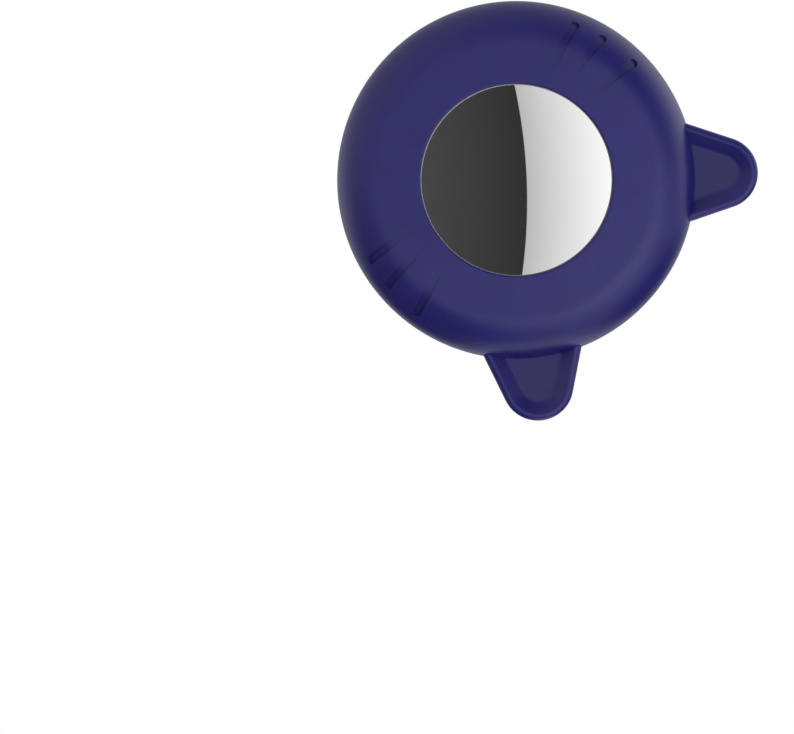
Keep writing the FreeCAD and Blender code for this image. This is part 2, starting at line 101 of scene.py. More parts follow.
# How far in the middle of an ear is closed, in tip radii, and of the bridge's plate, in edge rounds
EAR_MIDDLE = 0.6
PLATE_MIDDLE = 3
# A corner of the bridge keeps at least one part in so many of its round
LEAST_CORNER = 10
# Where the flat of a groove's floor starts, in floor rounds, and how high its cutter stands, in depths
FLOOR_START = 3
CUTTER_HEIGHT = 3


def length(name, description, default):
    return bpy.props.FloatProperty(name=name, description=description, default=default, unit="LENGTH",
                                   precision=5)


def angle(name, description, degrees):
    return bpy.props.FloatProperty(name=name, description=description, default=math.radians(degrees),
                                   subtype="ANGLE")


def share(name, description, default):
    return bpy.props.FloatProperty(name=name, description=description, default=default, min=0, max=1,
                                   subtype="FACTOR")


def colour(name, description, default):
    return bpy.props.FloatVectorProperty(name=name, description=description, default=default, size=3,
                                         min=0, max=1, subtype="COLOR")


class BodySizes(bpy.types.PropertyGroup):
    """The round body, its pocket and its window. Levels run forwards from the strap tunnel's centre."""
    radius: length("Radius", "Widest radius of the body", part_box("holder_shell")[1].x)
    back_level: length("Back", "Level of the back's middle", 2.2 * MM)
    back_half: length("Back half", "Depth from the back to the widest ring", 5.9 * MM)
    front_half: length("Front half", "Depth from the widest ring to the front's middle", 5.5 * MM)
    edge_radius: length("Edge radius", "Round between the faces and the widest ring", 5.0 * MM)
    window_radius: length("Window radius", "Radius of the round window", 10.7 * MM)
    window_round: length("Window round", "Round on the edge of the window", 0.2 * MM)
    clearance: length("Clearance", "Gap between the tag and its pocket", 0.15 * MM)


class TagSizes(bpy.types.PropertyGroup):
    """The outside of the tag, which the pocket follows."""
    radius: length("Radius", "Widest radius of the tag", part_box("tag_housing")[1].x)
    back_level: length("Back", "Level of the tag's back", -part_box("tag_housing")[1].y)
    rim_height: length("Rim height", "Height of the widest ring above the back", 4.9 * MM)
    back_edge_radius: length("Back edge", "Round of the back edge", 3.0 * MM)
    front_edge_radius: length("Front edge", "Round of the front edge", 2.75 * MM)
    cover_radius: length("Cover radius", "Radius of the steel cover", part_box("battery_cover")[1].x)
    cover_level: length("Cover", "Level of the middle of the steel cover", -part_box("battery_cover")[0].y)
    cover_drop: length("Cover drop", "How far the crowned cover falls to its edge", 0.3 * MM)


class EarSizes(bpy.types.PropertyGroup):
    """The two ears, measured in the plane of the body's widest ring."""
    axis: angle("Axis", "Lean of each ear from the middle", 43.0)
    tip_distance: length("Tip distance", "From the body's axis to the centre of the tip", 23.0 * MM)
    tip_radius: length("Tip radius", "Round of the tip", 4.0 * MM)
    inner_taper: angle("Inner taper", "Lean of the side next to the other ear", 16.9)
    outer_taper: angle("Outer taper", "Lean of the side away from the other ear", 20.2)
    root_distance: length("Root", "Where the ear ends inside the body", 18.3 * MM)
    thickness: length("Thickness", "Thickness of the plate", 3.0 * MM)
    edge_round: length("Edge round", "Round along the rim", 0.6 * MM)
    rim_width: length("Rim width", "Flat rim round the recess", 0.75 * MM)
    slope_width: length("Slope width", "Sloped wall of the recess", 1.3 * MM)
    recess_depth: length("Recess depth", "Depth of the recess", 0.8 * MM)
    recess_round: length("Recess round", "Round at the recess floor, half of it at the rim", 0.8 * MM)


class WhiskerSizes(bpy.types.PropertyGroup):
    """The three grooves in each cheek, from the lowest to the highest."""
    width: length("Width", "Width of a groove", 1.0 * MM)
    run: length("Run", "Length of a groove up to the centre of its round end", 5.6 * MM)
    reach: length("Reach", "From the body's axis to the centre of the round end", 18.3 * MM)
    depth: length("Depth", "Depth at the round end", 0.36 * MM)
    runout: length("Runout", "How far the floor has left the surface at the inner end", 0.001 * MM)
    fall: bpy.props.FloatProperty(
        name="Fall", description="Power by which the floor goes down towards the round end", default=2.2,
        min=1, max=10, subtype="UNSIGNED")
    floor_round: length("Floor round", "Round where the floor meets the walls", 0.04 * MM)
    bearings: bpy.props.FloatVectorProperty(
        name="Bearings", description="Bearing of each round end from the strap's line", size=3,
        default=[math.radians(value) for value in (-20.4, -9.8, 3.9)], subtype="EULER")
    tilts: bpy.props.FloatVectorProperty(
        name="Tilts", description="Slant of each groove from the strap's line", size=3,
        default=[math.radians(value) for value in (-10.0, 1.0, 13.0)], subtype="EULER")


class CoverSizes(bpy.types.PropertyGroup):
    """The steel battery cover below its face."""
    thickness: length("Thickness", "Thickness of the pressed sheet", 0.35 * MM)
    edge_round: length("Edge round", "Round along the edge of the face", 0.2 * MM)
    skirt_outer: length("Skirt outside", "Outer radius of the skirt", 12.25 * MM)
    skirt_inner: length("Skirt inside", "Inner radius of the skirt", 11.85 * MM)
    tab_under: length("Tab underside", "Level of the skirt's and the tabs' underside", 10.41 * MM)
    tab_thickness: length("Tab thickness", "Thickness of a bayonet tab", 0.4 * MM)
    tab_sweep: angle("Tab sweep", "Width of a bayonet tab", 16.0)
    tab_count: bpy.props.IntProperty(name="Tabs", description="Number of bayonet tabs", default=3)


class BridgeSizes(bpy.types.PropertyGroup):
    """The drafted strap bridge behind the body. Its length runs from leg to leg."""
    base_length: length("Base length", "Length where it meets the body", 20.8 * MM)
    base_width: length("Base width", "Width where it meets the body", 12.3 * MM)
    end_draft: length("End draft", "How far each end leans in", 0.9 * MM)
    side_draft: length("Side draft", "How far each side leans in", 0.3 * MM)
    plate: length("Plate", "Thickness of the plate behind the strap", 1.8 * MM)
    root: length("Root", "How far the legs reach into the body", 1.2 * MM)
    corner_radius: length("Corner radius", "Round of the four corners", 0.6 * MM)
    top_round: length("Top round", "Round along the edge of the plate", 0.5 * MM)
    tunnel_gap: length("Tunnel gap", "Room for the strap's thickness", 4.4 * MM)
    tunnel_width: length("Tunnel width", "Room for the strap's width", 15.1 * MM)
    tunnel_round: length("Tunnel round", "Round in the corners of the tunnel", 0.8 * MM)
    mouth_round: length("Mouth round", "Round along the tunnel's mouths", 0.12 * MM)


class FinishColours(bpy.types.PropertyGroup):
    """Base colours of the finishes that show, and the painted shade that darkens the ear recess floors and
    the whisker grooves.
    """
    silicone: colour("Silicone", "Deep blue of the moulding", (0.0105, 0.0085, 0.105))
    # Painted shade: the next two colours are multiplied onto the ear recess floors and into the whisker
    # grooves to darken them
    ear_floor_painted_shade: colour("Ear floor tint", "Tint of the ears' recess floors", (1.0, 1.0, 0.77))
    groove_painted_shade: colour("Groove tint", "Tint of the whisker grooves", (0.92, 0.92, 0.87))
    silicone_roughness: share("Silicone roughness", "Mattness of the moulding", 0.36)
    plastic: colour("Plastic", "White of the tag's housing", (0.8, 0.8, 0.79))
    steel: colour("Steel", "Tint of the polished cover", (0.97, 0.97, 0.97))
    board: colour("Board", "Green of the circuit board", (0.02, 0.11, 0.05))
    copper: colour("Copper", "Foils and windings", (0.75, 0.33, 0.16))


class StageSettings(bpy.types.PropertyGroup):
    """Camera, lamps and floor."""
    view_width: length("View width", "Width of what the camera sees", 88.67 * MM)
    view_centre_x: length("View centre X", "Where the camera's axis meets the object", 24.49 * MM)
    view_centre_z: length("View centre Z", "Where the camera's axis meets the object", 3.654 * MM)
    view_roll: angle("View roll", "Turn of the picture about the camera's axis", 131.0)
    view_distance: length("View distance", "From the camera to the body's widest ring", 3.0)
    panel_edge: share("Panel edge", "Where the bright panel starts, off the viewer's axis", 0.0192)
    fill: share("Fill", "Even light from all round", 0.575)
    key: bpy.props.FloatProperty(name="Key", description="Power of the main lamp and of its twin behind",
                                 default=0.992, unit="POWER")
    key_size: length("Key size", "Edge of each lamp", 0.25)
    key_place: bpy.props.FloatVectorProperty(
        name="Key place", description="Where the main lamp stands", size=3, default=(-0.09, -0.36, 0.2),
        subtype="TRANSLATION", unit="LENGTH")
    floor_radius: length("Floor radius", "Where the floor has faded out", 150 * MM)


GROUPS = {
    "holder_body": BodySizes,
    "holder_tag": TagSizes,
    "holder_cover": CoverSizes,
    "holder_ears": EarSizes,
    "holder_whiskers": WhiskerSizes,
    "holder_bridge": BridgeSizes,
    "holder_finish": FinishColours,
    "holder_stage": StageSettings,
}


def arc(centre, radius, start, end, steps):
    """Points of an arc in an outline, from one angle to another in degrees, both ends included."""
    angles = [math.radians(start + (end - start) * index / steps) for index in range(steps + 1)]
    return [(centre[0] + radius * math.cos(a), centre[1] + radius * math.sin(a)) for a in angles]


def rounded(points, steps):
    """An open outline of (x, y, round) corners as points, with each round drawn as an arc."""
    outline = []
    for index, (x, y, radius) in enumerate(points):
        corner = Vector((x, y))
        if radius == 0:
            outline.append((x, y))
            continue
        before = (Vector(points[index - 1][:2]) - corner).normalized()
        after = (Vector(points[index + 1][:2]) - corner).normalized()
        half = before.angle(after) / 2
        bisector = (before + after).normalized()
        centre = corner + bisector * radius / math.sin(half)
        first = corner + before * radius / math.tan(half) - centre
        last = corner + after * radius / math.tan(half) - centre
        turn = first.angle_signed(last)
        for step in range(steps + 1):
            spoke = first.copy()
            spoke.rotate(Matrix.Rotation(-turn * step / steps, 2))
            outline.append(tuple(centre + spoke))
    return outline


class Crown:
    """A shallow dome round the axis that turns through an edge round to its widest ring."""

    def __init__(self, radius, height, edge, apex, up):
        self.radius = radius
        self.edge = edge
        self.up = up
        self.widest = apex - up * height
        self.dome = ((radius - edge) ** 2 + height ** 2 - edge ** 2) / (2 * (height - edge))
        self.dome_centre = apex - up * self.dome
        self.turn = math.asin((radius - edge) / (self.dome - edge))

    def level(self, distance):
        if distance <= self.dome * math.sin(self.turn):
            return self.dome_centre + self.up * math.sqrt(self.dome ** 2 - distance ** 2)
        run = distance - (self.radius - self.edge)
        return self.widest + self.up * math.sqrt(self.edge ** 2 - run ** 2)

    def outline(self, start, dome_steps, edge_steps):
        """Points from a distance on the dome out to the widest ring."""
        last = self.dome * math.sin(self.turn)
        distances = [start + (last - start) * index / dome_steps for index in range(dome_steps)]
        points = [(distance, self.level(distance)) for distance in distances]
        for index in range(edge_steps + 1):
            a = self.turn + (math.pi / 2 - self.turn) * index / edge_steps
            across = self.radius - self.edge + self.edge * math.sin(a)
            points.append((across, self.widest + self.up * self.edge * math.cos(a)))
        return points


def front_crown(body):
    front = body.back_level + body.back_half + body.front_half
    return Crown(body.radius, body.front_half, body.edge_radius, front, 1)


def loops_to_mesh(mesh, loops, cap=True):
    """Skin a run of closed loops with quads, and close both ends unless told not to."""
    rings = [[mesh.verts.new(point) for point in loop] for loop in loops]
    for lower, upper in zip(rings, rings[1:]):
        for index in range(len(lower)):
            after = (index + 1) % len(lower)
            mesh.faces.new((lower[index], lower[after], upper[after], upper[index]))
    if cap:
        mesh.faces.new(list(reversed(rings[0])))
        mesh.faces.new(rings[-1])
    return rings


def object_from(mesh, name):
    """A finished mesh as an object in the scene, with its faces turned outwards."""
    bmesh.ops.recalc_face_normals(mesh, faces=mesh.faces)
    data = bpy.data.meshes.new(name)
    mesh.to_mesh(data)
    mesh.free()
    made = bpy.data.objects.new(name, data)
    bpy.context.scene.collection.objects.link(made)
    return made


def apply_modifiers(target):
    """Bake an object's modifiers into its mesh."""
    bpy.context.view_layer.update()
    evaluated = target.evaluated_get(bpy.context.evaluated_depsgraph_get())
    baked = bpy.data.meshes.new_from_object(evaluated)
    if not baked.polygons:
        raise RuntimeError("no face is left of " + target.name)
    target.modifiers.clear()
    target.data = baked


def combine(target, tool, operation):
    """Join a closed piece to another, or cut it out, and throw the tool away."""
    modifier = target.modifiers.new("combine", "BOOLEAN")
    modifier.operation = operation
    modifier.solver = "MANIFOLD"
    modifier.object = tool
    apply_modifiers(target)
    bpy.data.objects.remove(tool)


def finish_mesh(piece, material, crease):
    """Stand a piece up in the shared frame, smooth it up to a crease angle and give it its finish."""
    piece.data.transform(STAND_UP)
    piece.data.shade_smooth()
    piece.data.set_sharp_from_angle(angle=math.radians(crease))
    piece.data.materials.clear()
    piece.data.materials.append(material)


def body_outline(body, tag):
    """Section from the pocket's middle, round the lip and the outside, to the back's middle."""
    gap = body.clearance
    pocket = Crown(tag.radius + gap, tag.rim_height + gap, tag.back_edge_radius + gap,
                   tag.back_level - gap, -1)
    points = pocket.outline(0, POCKET_STEPS, POCKET_EDGE_STEPS)
    edge_centre = (tag.radius - tag.front_edge_radius, tag.back_level + tag.rim_height)
    points += arc(edge_centre, tag.front_edge_radius + gap, 0, 90, POCKET_EDGE_STEPS)[1:]
    cover_edge = tag.cover_level - tag.cover_drop + gap
    points.append((tag.cover_radius, cover_edge))
    crown = (tag.cover_radius ** 2 + tag.cover_drop ** 2) / (2 * tag.cover_drop)
    sag = crown - math.sqrt(crown ** 2 - body.window_radius ** 2)
    points.append((body.window_radius, tag.cover_level - sag + gap))
    front = front_crown(body)
    turn = body.window_radius + body.window_round
    window_centre = (turn, front.level(turn) - body.window_round)
    points += arc(window_centre, body.window_round, *WINDOW_TURN, ROUND_STEPS)
    points += front.outline(turn, FRONT_STEPS, EDGE_STEPS)
    back = Crown(body.radius, body.back_half, body.edge_radius, body.back_level, -1)
    points += list(reversed(back.outline(0, BACK_STEPS, EDGE_STEPS)))[1:]
    return points


def spun(outline, segments, name):
    """A closed mesh from an outline that starts and ends on the axis."""
    mesh = bmesh.new()
    rings = []
    for distance, level in outline:
        if distance == 0:
            rings.append([mesh.verts.new((0, 0, level))])
            continue
        angles = [2 * math.pi * index / segments for index in range(segments)]
        places = [(distance * math.cos(a), distance * math.sin(a), level) for a in angles]
        rings.append([mesh.verts.new(place) for place in places])
    for inner, outer in zip(rings, rings[1:]):
        for index in range(segments):
            after = (index + 1) % segments
            if len(inner) == 1:
                mesh.faces.new((inner[0], outer[index], outer[after]))
            elif len(outer) == 1:
                mesh.faces.new((inner[index], outer[0], inner[after]))
            else:
                mesh.faces.new((inner[index], outer[index], outer[after], inner[after]))
    return object_from(mesh, name)


def ear_outline(ears, inset):
    """An ear's outline about +Y: a round tip with sides that widen down to the root."""
    tip = ears.tip_radius - inset
    feet = []
    for sign, taper in ((1, ears.outer_taper), (-1, ears.inner_taper)):
        touch_x = sign * tip * math.cos(taper)
        touch_y = ears.tip_distance + tip * math.sin(taper)
        spread = (touch_y - ears.root_distance) * math.tan(taper)
        feet.append(Vector((touch_x + sign * spread, ears.root_distance)))
    first = math.degrees(ears.outer_taper)
    last = 180 - math.degrees(ears.inner_taper)
    tip_arc = arc((0, ears.tip_distance), tip, first, last, EAR_TIP_STEPS)
    shares = [step / EAR_SIDE_STEPS for step in range(EAR_SIDE_STEPS + 1)]
    right = [tuple(feet[0].lerp(Vector(tip_arc[0]), part)) for part in shares[:-1]]
    left = [tuple(Vector(tip_arc[-1]).lerp(feet[1], part)) for part in shares[1:]]
    return right + tip_arc + left


def add_ear(mesh, body, ears, side):
    """One ear: a rounded plate with a sloped recess in its front."""
    equator = body.back_level + body.back_half
    back = equator - ears.thickness / 2
    front = equator + ears.thickness / 2
    floor = front - ears.recess_depth
    middle = ears.tip_radius * EAR_MIDDLE
    section = [(middle, back, 0), (0, back, ears.edge_round), (0, front, ears.edge_round),
               (ears.rim_width, front, ears.recess_round / 2),
               (ears.rim_width + ears.slope_width, floor, ears.recess_round), (middle, floor, 0)]
    turn = Matrix.Rotation(-ears.axis, 3, "Z")
    loops = []
    for inset, level in rounded(section, ROUND_STEPS):
        points = [turn @ Vector((x, y, level)) for x, y in ear_outline(ears, inset)]
        loops.append([Vector((side * point.x, point.y, point.z)) for point in points])
    loops_to_mesh(mesh, loops)


def add_groove(mesh, body, whiskers, index, side):
    """What one whisker takes out of a cheek: it runs in from the front and ends deep and round."""
    front = front_crown(body)
    bearing = whiskers.bearings[index]
    slant = whiskers.tilts[index]
    outer = Vector((math.cos(bearing), math.sin(bearing), 0)) * whiskers.reach
    along = Vector((math.cos(slant), math.sin(slant), 0))
    across = Vector((-along.y, along.x, 0))
    inner = outer - along * whiskers.run

    def floor(part):
        """A point of the floor: it follows the surface and goes down towards the round end."""
        level = front.level(inner.lerp(outer, part).length) + whiskers.runout
        drop = (whiskers.depth + whiskers.runout) * part ** whiskers.fall
        return Vector((whiskers.run * part, level - drop))

    def slope(part):
        """The floor's direction, taken over one step."""
        half = 0.5 / GROOVE_STEPS
        return (floor(min(part + half, 1)) - floor(max(part - half, 0))).normalized()

    def loop(inset, rise):
        """The groove's outline at a height above its floor, out to the round end and back."""
        half = whiskers.width / 2 - inset
        stations = [(step / GROOVE_STEPS, 0, half) for step in range(GROOVE_STEPS)]
        stations += [(1, x, y) for x, y in arc((0, 0), half, 90, 0, GROOVE_END_STEPS)]
        stations += [(part, x, -y) for part, x, y in reversed(stations[:-1])]
        points = []
        for part, beyond, sideways in stations:
            ahead = slope(part)
            spot = floor(part) + ahead * beyond + Vector((-ahead.y, ahead.x)) * rise
            point = inner + along * spot.x + across * sideways + Vector((0, 0, spot.y))
            points.append(Vector((side * point.x, point.y, point.z)))
        return points

    corner = (whiskers.floor_round, whiskers.floor_round)
    section = [(FLOOR_START * whiskers.floor_round, 0)]
    section += arc(corner, whiskers.floor_round, 270, 180, GROOVE_FLOOR_STEPS)
    section += [(0, CUTTER_HEIGHT * whiskers.depth)]
    rings = loops_to_mesh(mesh, [loop(*place) for place in section], cap=False)
    for edge in (rings[0], rings[-1]):
        last = len(edge) - 1
        middle = last // 2
        for near in range(middle - 1):
            far = last - near
            mesh.faces.new((edge[near], edge[near + 1], edge[far - 1], edge[far]))
        mesh.faces.new((edge[middle - 1], edge[middle], edge[middle + 1]))


def note_depths(piece, body, whiskers):
    """Note in the mesh how deep the points near the grooves lie under the crown."""
    front = front_crown(body)
    equator = body.back_level + body.back_half
    depths = piece.data.attributes.new(DEPTHS, "FLOAT", "POINT")
    for vertex, depth in zip(piece.data.vertices, depths.data):
        distance = vertex.co.xy.length
        inside = whiskers.reach - 2 * whiskers.run < distance < whiskers.reach + whiskers.width
        if inside and vertex.co.z > equator:
            depth.value = max(front.level(distance) - vertex.co.z, 0)


def rounded_rectangle(half_x, half_y, radius):
    """A closed loop of points round a rectangle with rounded corners."""
    loop = []
    for index, (x, y) in enumerate(((1, 1), (-1, 1), (-1, -1), (1, -1))):
        centre = (x * (half_x - radius), y * (half_y - radius))
        loop += arc(centre, radius, 90 * index, 90 * index + 90, CORNER_STEPS)
    return loop


def strap_bridge(body, bridge):
    """The drafted block behind the body, with the strap's tunnel through it."""
    outside = -bridge.tunnel_gap / 2 - bridge.plate
    rise = body.back_level - outside
    root = body.back_level + bridge.root
    mesh = bmesh.new()
    middle = bridge.top_round * PLATE_MIDDLE
    section = [(middle, outside, 0), (0, outside, bridge.top_round), (0, root, 0)]
    loops = []
    for inset, level in rounded(section, ROUND_STEPS):
        lean = 1 - (level - outside) / rise
        half_x = bridge.base_width / 2 - lean * bridge.side_draft - inset
        half_y = bridge.base_length / 2 - lean * bridge.end_draft - inset
        radius = max(bridge.corner_radius - inset, bridge.corner_radius / LEAST_CORNER)
        loops.append([Vector((x, y, level)) for x, y in rounded_rectangle(half_x, half_y, radius)])
    loops_to_mesh(mesh, loops)
    block = object_from(mesh, "bridge_block")
    mesh = bmesh.new()
    half_width = bridge.tunnel_width / 2
    inside = -bridge.tunnel_gap / 2
    corners = [(-half_width, root + rise, 0), (-half_width, inside, bridge.tunnel_round)]
    corners += [(half_width, inside, bridge.tunnel_round), (half_width, root + rise, 0)]
    mouth = rounded(corners, ROUND_STEPS)
    ends = (-bridge.base_width, bridge.base_width)
    loops_to_mesh(mesh, [[Vector((x, y, level)) for y, level in mouth] for x in ends])
    combine(block, object_from(mesh, "tunnel"), "DIFFERENCE")
    bevel = block.modifiers.new("mouths", "BEVEL")
    bevel.width = bridge.mouth_round
    bevel.segments = MOUTH_STEPS
    bevel.limit_method = "ANGLE"
    bevel.angle_limit = math.radians(MOUTH_CREASE)
    apply_modifiers(block)
    return block


class HOLDER_OT_silicone(bpy.types.Operator):
    """Model the silicone moulding: body, pocket, lip, ears, whisker grooves and strap bridge"""
    bl_idname = "tag_holder.silicone"
    bl_label = "Silicone Holder"

    def execute(self, context):
        scene = context.scene
        body = scene.holder_body
        holder = spun(body_outline(body, scene.holder_tag), SPIN_STEPS, "silicone_holder")
        ears = bmesh.new()
        grooves = bmesh.new()
        for side in (1, -1):
            add_ear(ears, body, scene.holder_ears, side)
            for index in range(len(scene.holder_whiskers.bearings)):
                add_groove(grooves, body, scene.holder_whiskers, index, side)
        combine(holder, object_from(ears, "ears"), "UNION")
        combine(holder, object_from(grooves, "whiskers"), "DIFFERENCE")
        combine(holder, strap_bridge(body, scene.holder_bridge), "UNION")
        note_depths(holder, body, scene.holder_whiskers)
        finish = silicone(scene.holder_finish, body, scene.holder_ears)
        finish_mesh(holder, finish, SILICONE_CREASE)
        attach(holder, "holder")
        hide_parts(*HOLDER_NODES)
        return {"FINISHED"}


class Nodes:
    """A material's or the world's node tree under construction, with short words for its nodes."""

    def __init__(self, owner, coordinates, empty=True):
        owner.use_nodes = True
        self.tree = owner.node_tree
        if empty:
            self.tree.nodes.clear()
        self.place = self.add("ShaderNodeTexCoord")[coordinates]

    def feed(self, socket, value):
        """Give a socket a plain value or link it to another node's output."""
        if isinstance(value, bpy.types.NodeSocket):
            self.tree.links.new(value, socket)
        elif socket.type == "RGBA":
            socket.default_value = (*value, 1)
        else:
            socket.default_value = value

    def add(self, kind, inputs=None, **settings):
        """The outputs of a new node, whose inputs go by name or by number."""
        node = self.tree.nodes.new(kind)
        for setting, value in settings.items():
            setattr(node, setting, value)
        for key, value in (inputs or {}).items():
            self.feed(node.inputs[key], value)
        return node.outputs

    def math(self, operation, *values):
        return self.add("ShaderNodeMath", dict(enumerate(values)), operation=operation)["Value"]

    def measured(self, operation, *vectors):
        """A length or a dot product of vectors, as a pattern."""
        return self.add("ShaderNodeVectorMath", dict(enumerate(vectors)), operation=operation)["Value"]

    def spread(self, source, low, high, to_low=0, to_high=1, way="LINEAR"):
        """Map a range of a pattern to a range of values."""
        inputs = {"Value": source, "From Min": low, "From Max": high, "To Min": to_low, "To Max": to_high}
        return self.add("ShaderNodeMapRange", inputs, interpolation_type=way)["Result"]

    def step(self, source, low, high):
        """Rise smoothly from nothing to one over a range of a pattern."""
        return self.spread(source, low, high, way="SMOOTHSTEP")


# Where nearly all of a noise's values lie, and where the cloud in the silicone goes from dark to light
NOISE_SPAN = (0.35, 0.65)
CLOUD_SPAN = (0.3, 0.7)
# From where to where a face counts as turned forwards, and a point under the crown as part of a groove,
# for the painted shade on the ear floors and in the grooves
FLAT_SPAN = (0.95, 0.995)
GROOVE_SHADE_SPAN = (0.003 * MM, 0.008 * MM)
# Over what depth the painted shade on an ear's floor comes in
FLOOR_SHADE_BLEND = 0.1 * MM
# Pitch of the glass weave in the board
WEAVE = 0.9 * MM
SILICONE_IOR = 1.48


class Finish(Nodes):
    """A material under construction, with patterns that colour, polish and raise its surface."""

    def __init__(self, name, roughness, metallic=0.0):
        self.material = bpy.data.materials.new(name)
        super().__init__(self.material, "Object", empty=False)
        self.shader = self.tree.nodes["Principled BSDF"]
        self.roughness = roughness
        self.set({"Metallic": metallic, "Roughness": roughness})

    def set(self, inputs):
        """Feed the shader's inputs by their names."""
        for name, value in inputs.items():
            self.feed(self.shader.inputs[name], value)

    def stretched(self, x, y, z):
        """The object's coordinates with each axis scaled, for grain that runs one way."""
        return self.add("ShaderNodeMapping", {"Vector": self.place, "Scale": (x, y, z)})["Vector"]

    def noise(self, grain, detail=2.0, place=None):
        """Noise whose features are about as large as the grain."""
        inputs = {"Vector": place or self.place, "Scale": 1 / grain, "Detail": detail}
        return self.add("ShaderNodeTexNoise", inputs)["Fac"]

    def noted(self, name):
        """A number that the mesh carries, as a pattern."""
        return self.add("ShaderNodeAttribute", attribute_name=name)["Fac"]

    def blend(self, pattern, first, second, way="MIX"):
        """Go from one colour to another by a pattern, or multiply by the other where it is high."""
        inputs = {"Factor": pattern, "A": first, "B": second}
        return self.add("ShaderNodeMix", inputs, data_type="RGBA", blend_type=way)["Result"]

    def paint(self, pattern, first, second):
        self.set({"Base Color": self.blend(pattern, first, second)})

    def gloss(self, pattern, below, above):
        """Vary the roughness by a pattern, from so much below its middle to so much above."""
        span = (self.roughness - below, self.roughness + above)
        self.set({"Roughness": self.spread(pattern, *NOISE_SPAN, *span)})

    def relief(self, pattern, depth, strength):
        """Raise and sink the surface by a pattern, over a depth in metres."""
        inputs = {"Height": pattern, "Distance": depth, "Strength": strength}
        self.set({"Normal": self.add("ShaderNodeBump", inputs)["Normal"]})


def shade(base, factor):
    """A colour made darker or lighter."""
    return tuple(min(channel * factor, 1) for channel in base)


def ear_floor_shade_mask(finish, body, ears):
    """Where the moulding is the flat floor of an ear's recess, which gets painted shade."""
    front = (0, -1, 0)
    facing = finish.add("ShaderNodeNewGeometry")["Normal"]
    level = body.back_level + body.back_half + ears.thickness / 2 - ears.recess_depth / 2
    flat = finish.spread(finish.measured("DOT_PRODUCT", facing, front), *FLAT_SPAN)
    outside = finish.spread(finish.measured("LENGTH", finish.stretched(1, 0, 1)),
                            body.radius, body.radius + ears.rim_width / 2)
    sunk = finish.spread(finish.measured("DOT_PRODUCT", finish.place, front), level, level - FLOOR_SHADE_BLEND)
    return finish.math("MULTIPLY", finish.math("MULTIPLY", flat, outside), sunk)


def silicone(colours, body, ears):
    """Soft matt silicone: an even deep colour with a faint cloud and a fine moulded grain, with painted
    shade that makes the ear recess floors less blue and the whisker grooves darker.
    """
    finish = Finish("silicone", colours.silicone_roughness)
    cloud = finish.spread(finish.noise(grain=4 * MM, detail=3), *CLOUD_SPAN)
    grain = finish.noise(grain=0.12 * MM)
    base = finish.blend(cloud, shade(colours.silicone, 0.94), shade(colours.silicone, 1.06))
    # Painted shade: the flat floors of the ear recesses are made less blue, standing in for the shade that
    # the recess holds
    floors = ear_floor_shade_mask(finish, body, ears)
    base = finish.blend(floors, base, colours.ear_floor_painted_shade, way="MULTIPLY")
    # Painted shade: the grooves are made darker and less blue where they lie deep enough, standing in for
    # the shade inside them
    grooves = finish.spread(finish.noted(DEPTHS), *GROOVE_SHADE_SPAN)
    base = finish.blend(grooves, base, colours.groove_painted_shade, way="MULTIPLY")
    finish.set({"Base Color": base, "IOR": SILICONE_IOR})
    finish.gloss(grain, below=0.04, above=0.05)
    finish.relief(grain, depth=0.002 * MM, strength=0.6)
    return finish.material


def polished_steel(colours):
    """Mirror-polished steel with hairline wipe marks that only show in the reflection."""
    finish = Finish("polished_steel", roughness=0.007, metallic=1.0)
    hair = finish.noise(grain=0.05 * MM, place=finish.stretched(0.03, 1, 1))
    film = finish.noise(grain=6 * MM, detail=3)
    finish.paint(film, colours.steel, shade(colours.steel, 0.97))
    finish.gloss(hair, below=0.003, above=0.003)
    finish.relief(hair, depth=0.00001 * MM, strength=0.05)
    return finish.material


def white_plastic(colours):
    """Glossy moulded plastic with a faint flow mottle."""
    finish = Finish("white_plastic", roughness=0.16)
    flow = finish.noise(grain=3 * MM, detail=3)
    grain = finish.noise(grain=0.08 * MM)
    finish.paint(flow, shade(colours.plastic, 0.97), colours.plastic)
    finish.gloss(flow, below=0.04, above=0.04)
    finish.relief(grain, depth=0.0006 * MM, strength=0.4)
    finish.set({"Coat Weight": 0.3, "Coat Roughness": 0.06})
    return finish.material


def moulded(name, base, roughness, grain, depth):
    """Plain moulded or ground material with a grain of its own."""
    finish = Finish(name, roughness)
    pattern = finish.noise(grain, detail=3)
    finish.paint(pattern, shade(base, 0.85), shade(base, 1.12))
    finish.gloss(pattern, below=0.06, above=0.06)
    finish.relief(pattern, depth, strength=0.6)
    return finish.material


def sheet_metal(name, base, roughness, grain, depth):
    """Rolled or plated metal, with fine lines along the rolling direction and larger stains."""
    finish = Finish(name, roughness, metallic=1.0)
    lines = finish.noise(grain, detail=3, place=finish.stretched(0.08, 1, 1))
    stain = finish.noise(grain * 40)
    finish.paint(stain, shade(base, 0.9), shade(base, 1.05))
    finish.gloss(lines, below=0.05, above=0.08)
    finish.relief(lines, depth, strength=0.5)
    return finish.material


def board_laminate(colours):
    """Solder mask over woven glass, with the weave just showing through."""
    finish = Finish("board_laminate", roughness=0.32)
    inputs = {"Vector": finish.place, "Scale": 1 / WEAVE}
    waves = [finish.add("ShaderNodeTexWave", inputs, bands_direction=way)["Fac"] for way in ("X", "Z")]
    pattern = finish.math("MULTIPLY", *waves)
    finish.paint(pattern, shade(colours.board, 0.85), shade(colours.board, 1.2))
    finish.gloss(pattern, below=0.04, above=0.04)
    finish.relief(pattern, depth=0.004 * MM, strength=0.5)
    return finish.material


def windings(colours):
    """Copper foil or wire, with lines that run round the axis."""
    finish = Finish("antenna_copper", roughness=0.28, metallic=1.0)
    lines = finish.noise(grain=0.1 * MM, place=finish.stretched(0.05, 1, 0.05))
    finish.paint(lines, shade(colours.copper, 0.8), shade(colours.copper, 1.1))
    finish.gloss(lines, below=0.06, above=0.08)
    finish.relief(lines, depth=0.003 * MM, strength=0.6)
    return finish.material


def dress(material, *nodes):
    """Give some CAD nodes a finish."""
    for node in nodes:
        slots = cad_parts[node].material_slots
        if not slots:
            raise RuntimeError("no material slot on " + node)
        slots[0].material = material


